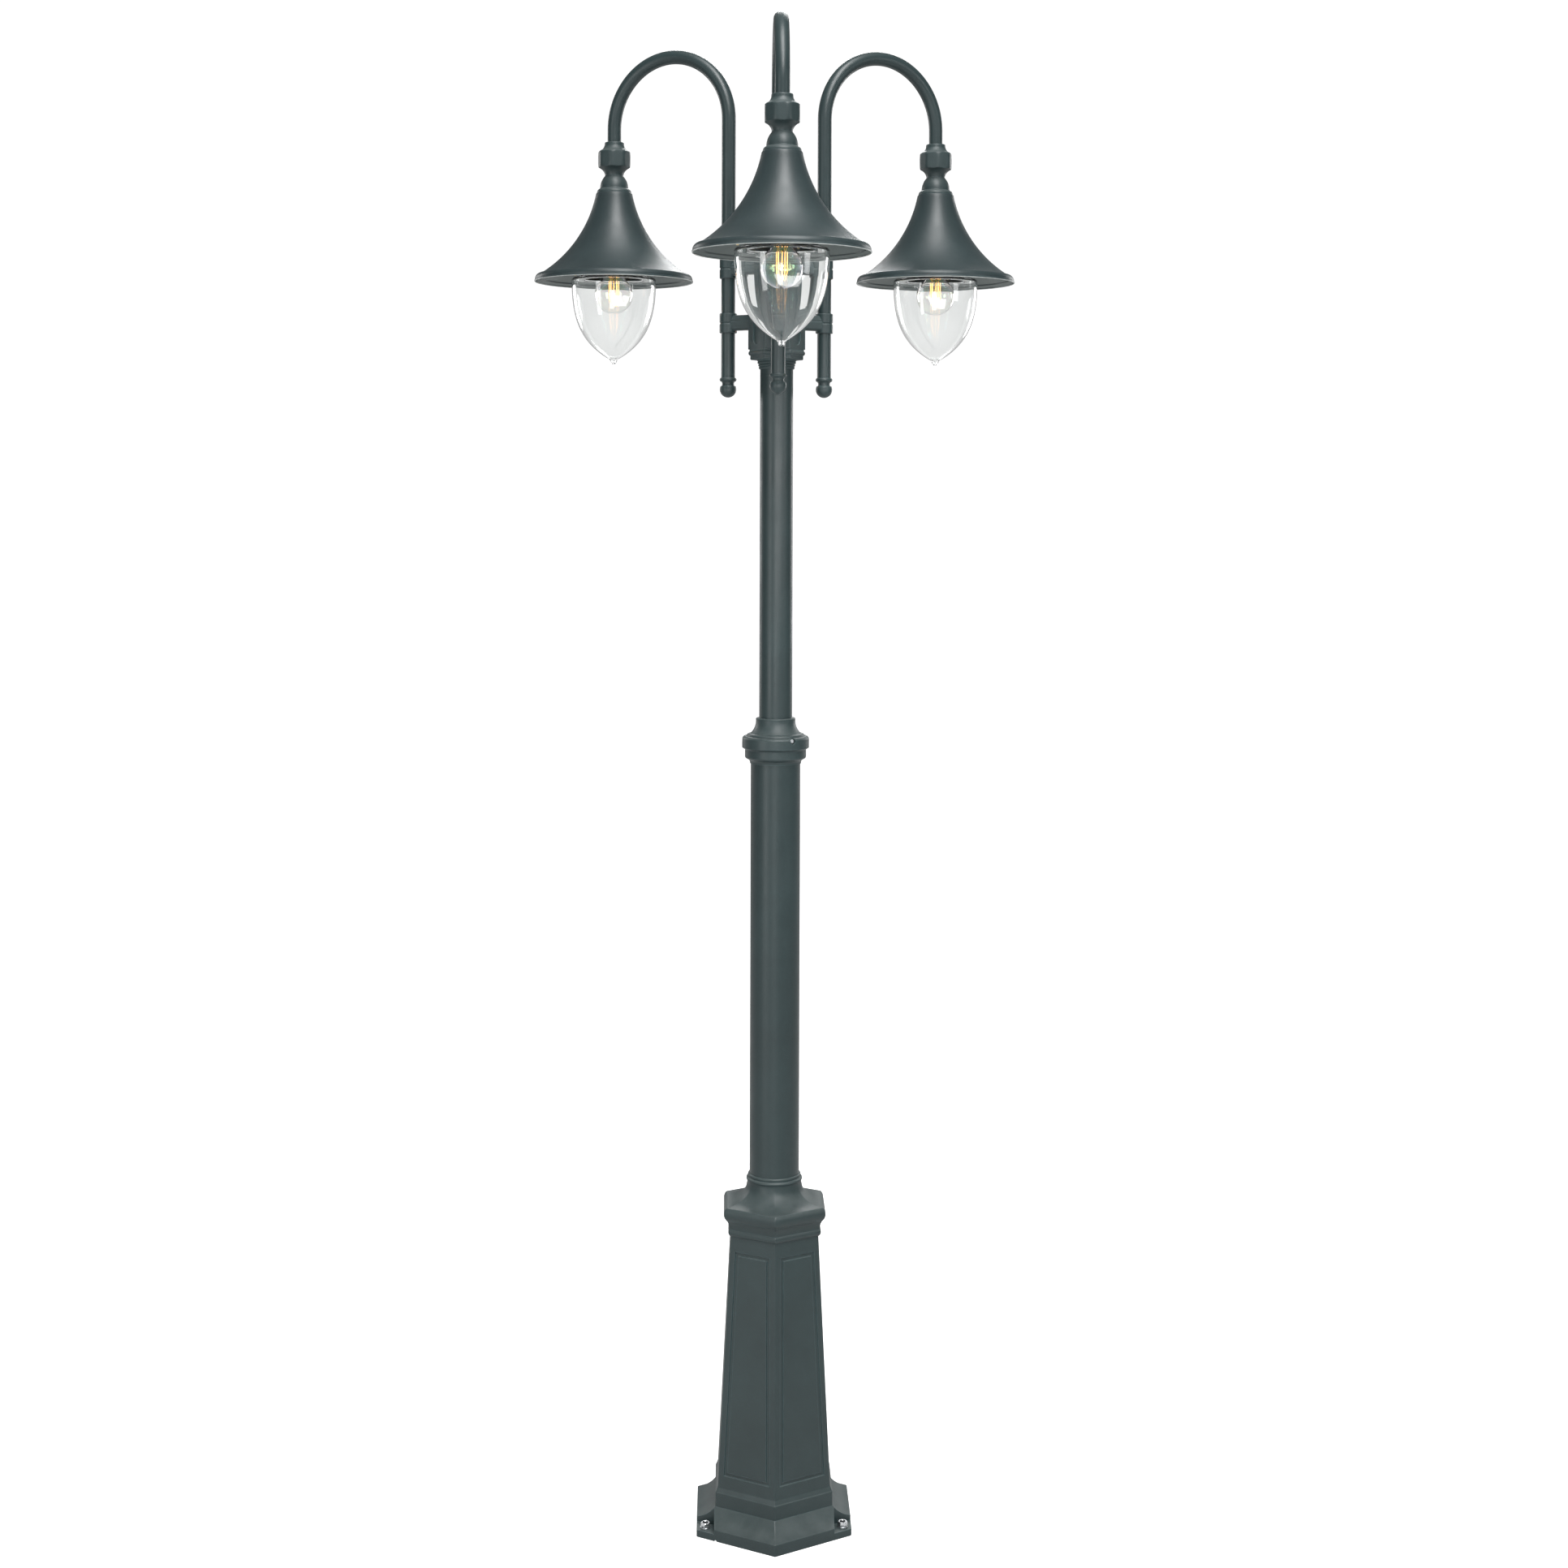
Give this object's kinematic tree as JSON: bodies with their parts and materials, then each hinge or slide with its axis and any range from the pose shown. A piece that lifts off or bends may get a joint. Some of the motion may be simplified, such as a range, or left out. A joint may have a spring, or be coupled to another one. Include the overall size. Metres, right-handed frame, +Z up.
{
  "type": "street lamp post",
  "caption": "Street lamp post with a hexagonal cast pedestal, tube pole, swivelling hub, crook arms, bell shades and clear globes over glowing bulbs.",
  "frame": {"origin": "centre of the three anchor holes in the underside of the foot plate, on the pole's axis at ground level", "axes": "+Z up along the pole; one arm points to -Y, the others to 30 and 150 degrees from +X"},
  "size_m": [0.7584, 0.6902, 2.2383],
  "materials": {
    "casting_paint": "satin",
    "tube_paint": "satin",
    "shade_paint": "satin",
    "gallery_paint": "satin",
    "screw_paint": "satin",
    "zinc": "satin",
    "brass": "satin",
    "porcelain": "gloss",
    "box_plastic": "matte",
    "gland_plastic": "matte",
    "cable_sheath": "matte",
    "gasket_rubber": "matte",
    "globe_glass": "gloss",
    "bulb_glass": "gloss",
    "filament": "matte"
  },
  "bodies": {
    "post": {"pedestal": "casting_paint", "pedestal_cap": "casting_paint", "lower_tube": "tube_paint", "joint_collar": "casting_paint", "collar_screws": "zinc", "anchor_nuts": "zinc", "anchor_washers": "zinc", "inside_screws": "zinc", "junction_box": "box_plastic", "junction_lid": "box_plastic", "terminal_block": "porcelain", "inlet_gland": "gland_plastic", "supply_cable": "cable_sheath", "earth_stud": "brass"},
    "head": {"reducer": "casting_paint", "upper_tube": "tube_paint", "hub_collar": "casting_paint", "hub_body": "casting_paint", "hub_cap": "casting_paint", "hub_terminal": "porcelain", "bracket_screws": "screw_paint", "gallery_screws": "brass", "stem_nuts": "zinc", "finials": "casting_paint", "globe_gaskets": "gasket_rubber", "arm_cables": "cable_sheath", "arm_tube_front": "tube_paint", "arm_tube_right": "tube_paint", "arm_tube_left": "tube_paint", "arm_bracket_front": "casting_paint", "arm_bracket_right": "casting_paint", "arm_bracket_left": "casting_paint", "coupling_front": "casting_paint", "coupling_right": "casting_paint", "coupling_left": "casting_paint", "shade_cap_front": "casting_paint", "shade_cap_right": "casting_paint", "shade_cap_left": "casting_paint", "shade_front": "shade_paint", "shade_right": "shade_paint", "shade_left": "shade_paint", "gallery_front": "gallery_paint", "gallery_right": "gallery_paint", "gallery_left": "gallery_paint", "lamp_holder_front": "porcelain", "lamp_holder_right": "porcelain", "lamp_holder_left": "porcelain"},
    "globe_front": {"globe_front": "globe_glass"},
    "globe_right": {"globe_right": "globe_glass"},
    "globe_left": {"globe_left": "globe_glass"},
    "bulb_front": {"bulb_glass_front": "bulb_glass", "bulb_cap_front": "brass", "filament_front": "filament"},
    "bulb_right": {"bulb_glass_right": "bulb_glass", "bulb_cap_right": "brass", "filament_right": "filament"},
    "bulb_left": {"bulb_glass_left": "bulb_glass", "bulb_cap_left": "brass", "filament_left": "filament"}
  },
  "joints": [
    {"name": "head_swivel", "type": "hinge", "parent": "post", "child": "head", "pos_m": [0, 0, 1.17], "axis": [0, 0, 1], "range_deg": [-180, 180]},
    {"name": "globe_front_drop", "type": "slide", "parent": "head", "child": "globe_front", "axis": [0, 0, -1], "range_m": [0, 0.1]},
    {"name": "globe_right_drop", "type": "slide", "parent": "head", "child": "globe_right", "axis": [0, 0, -1], "range_m": [0, 0.1]},
    {"name": "globe_left_drop", "type": "slide", "parent": "head", "child": "globe_left", "axis": [0, 0, -1], "range_m": [0, 0.1]},
    {"name": "bulb_front_out", "type": "slide", "parent": "head", "child": "bulb_front", "axis": [0, 0, -1], "range_m": [0, 0.028]},
    {"name": "bulb_right_out", "type": "slide", "parent": "head", "child": "bulb_right", "axis": [0, 0, -1], "range_m": [0, 0.028]},
    {"name": "bulb_left_out", "type": "slide", "parent": "head", "child": "bulb_left", "axis": [0, 0, -1], "range_m": [0, 0.028]}
  ]
}
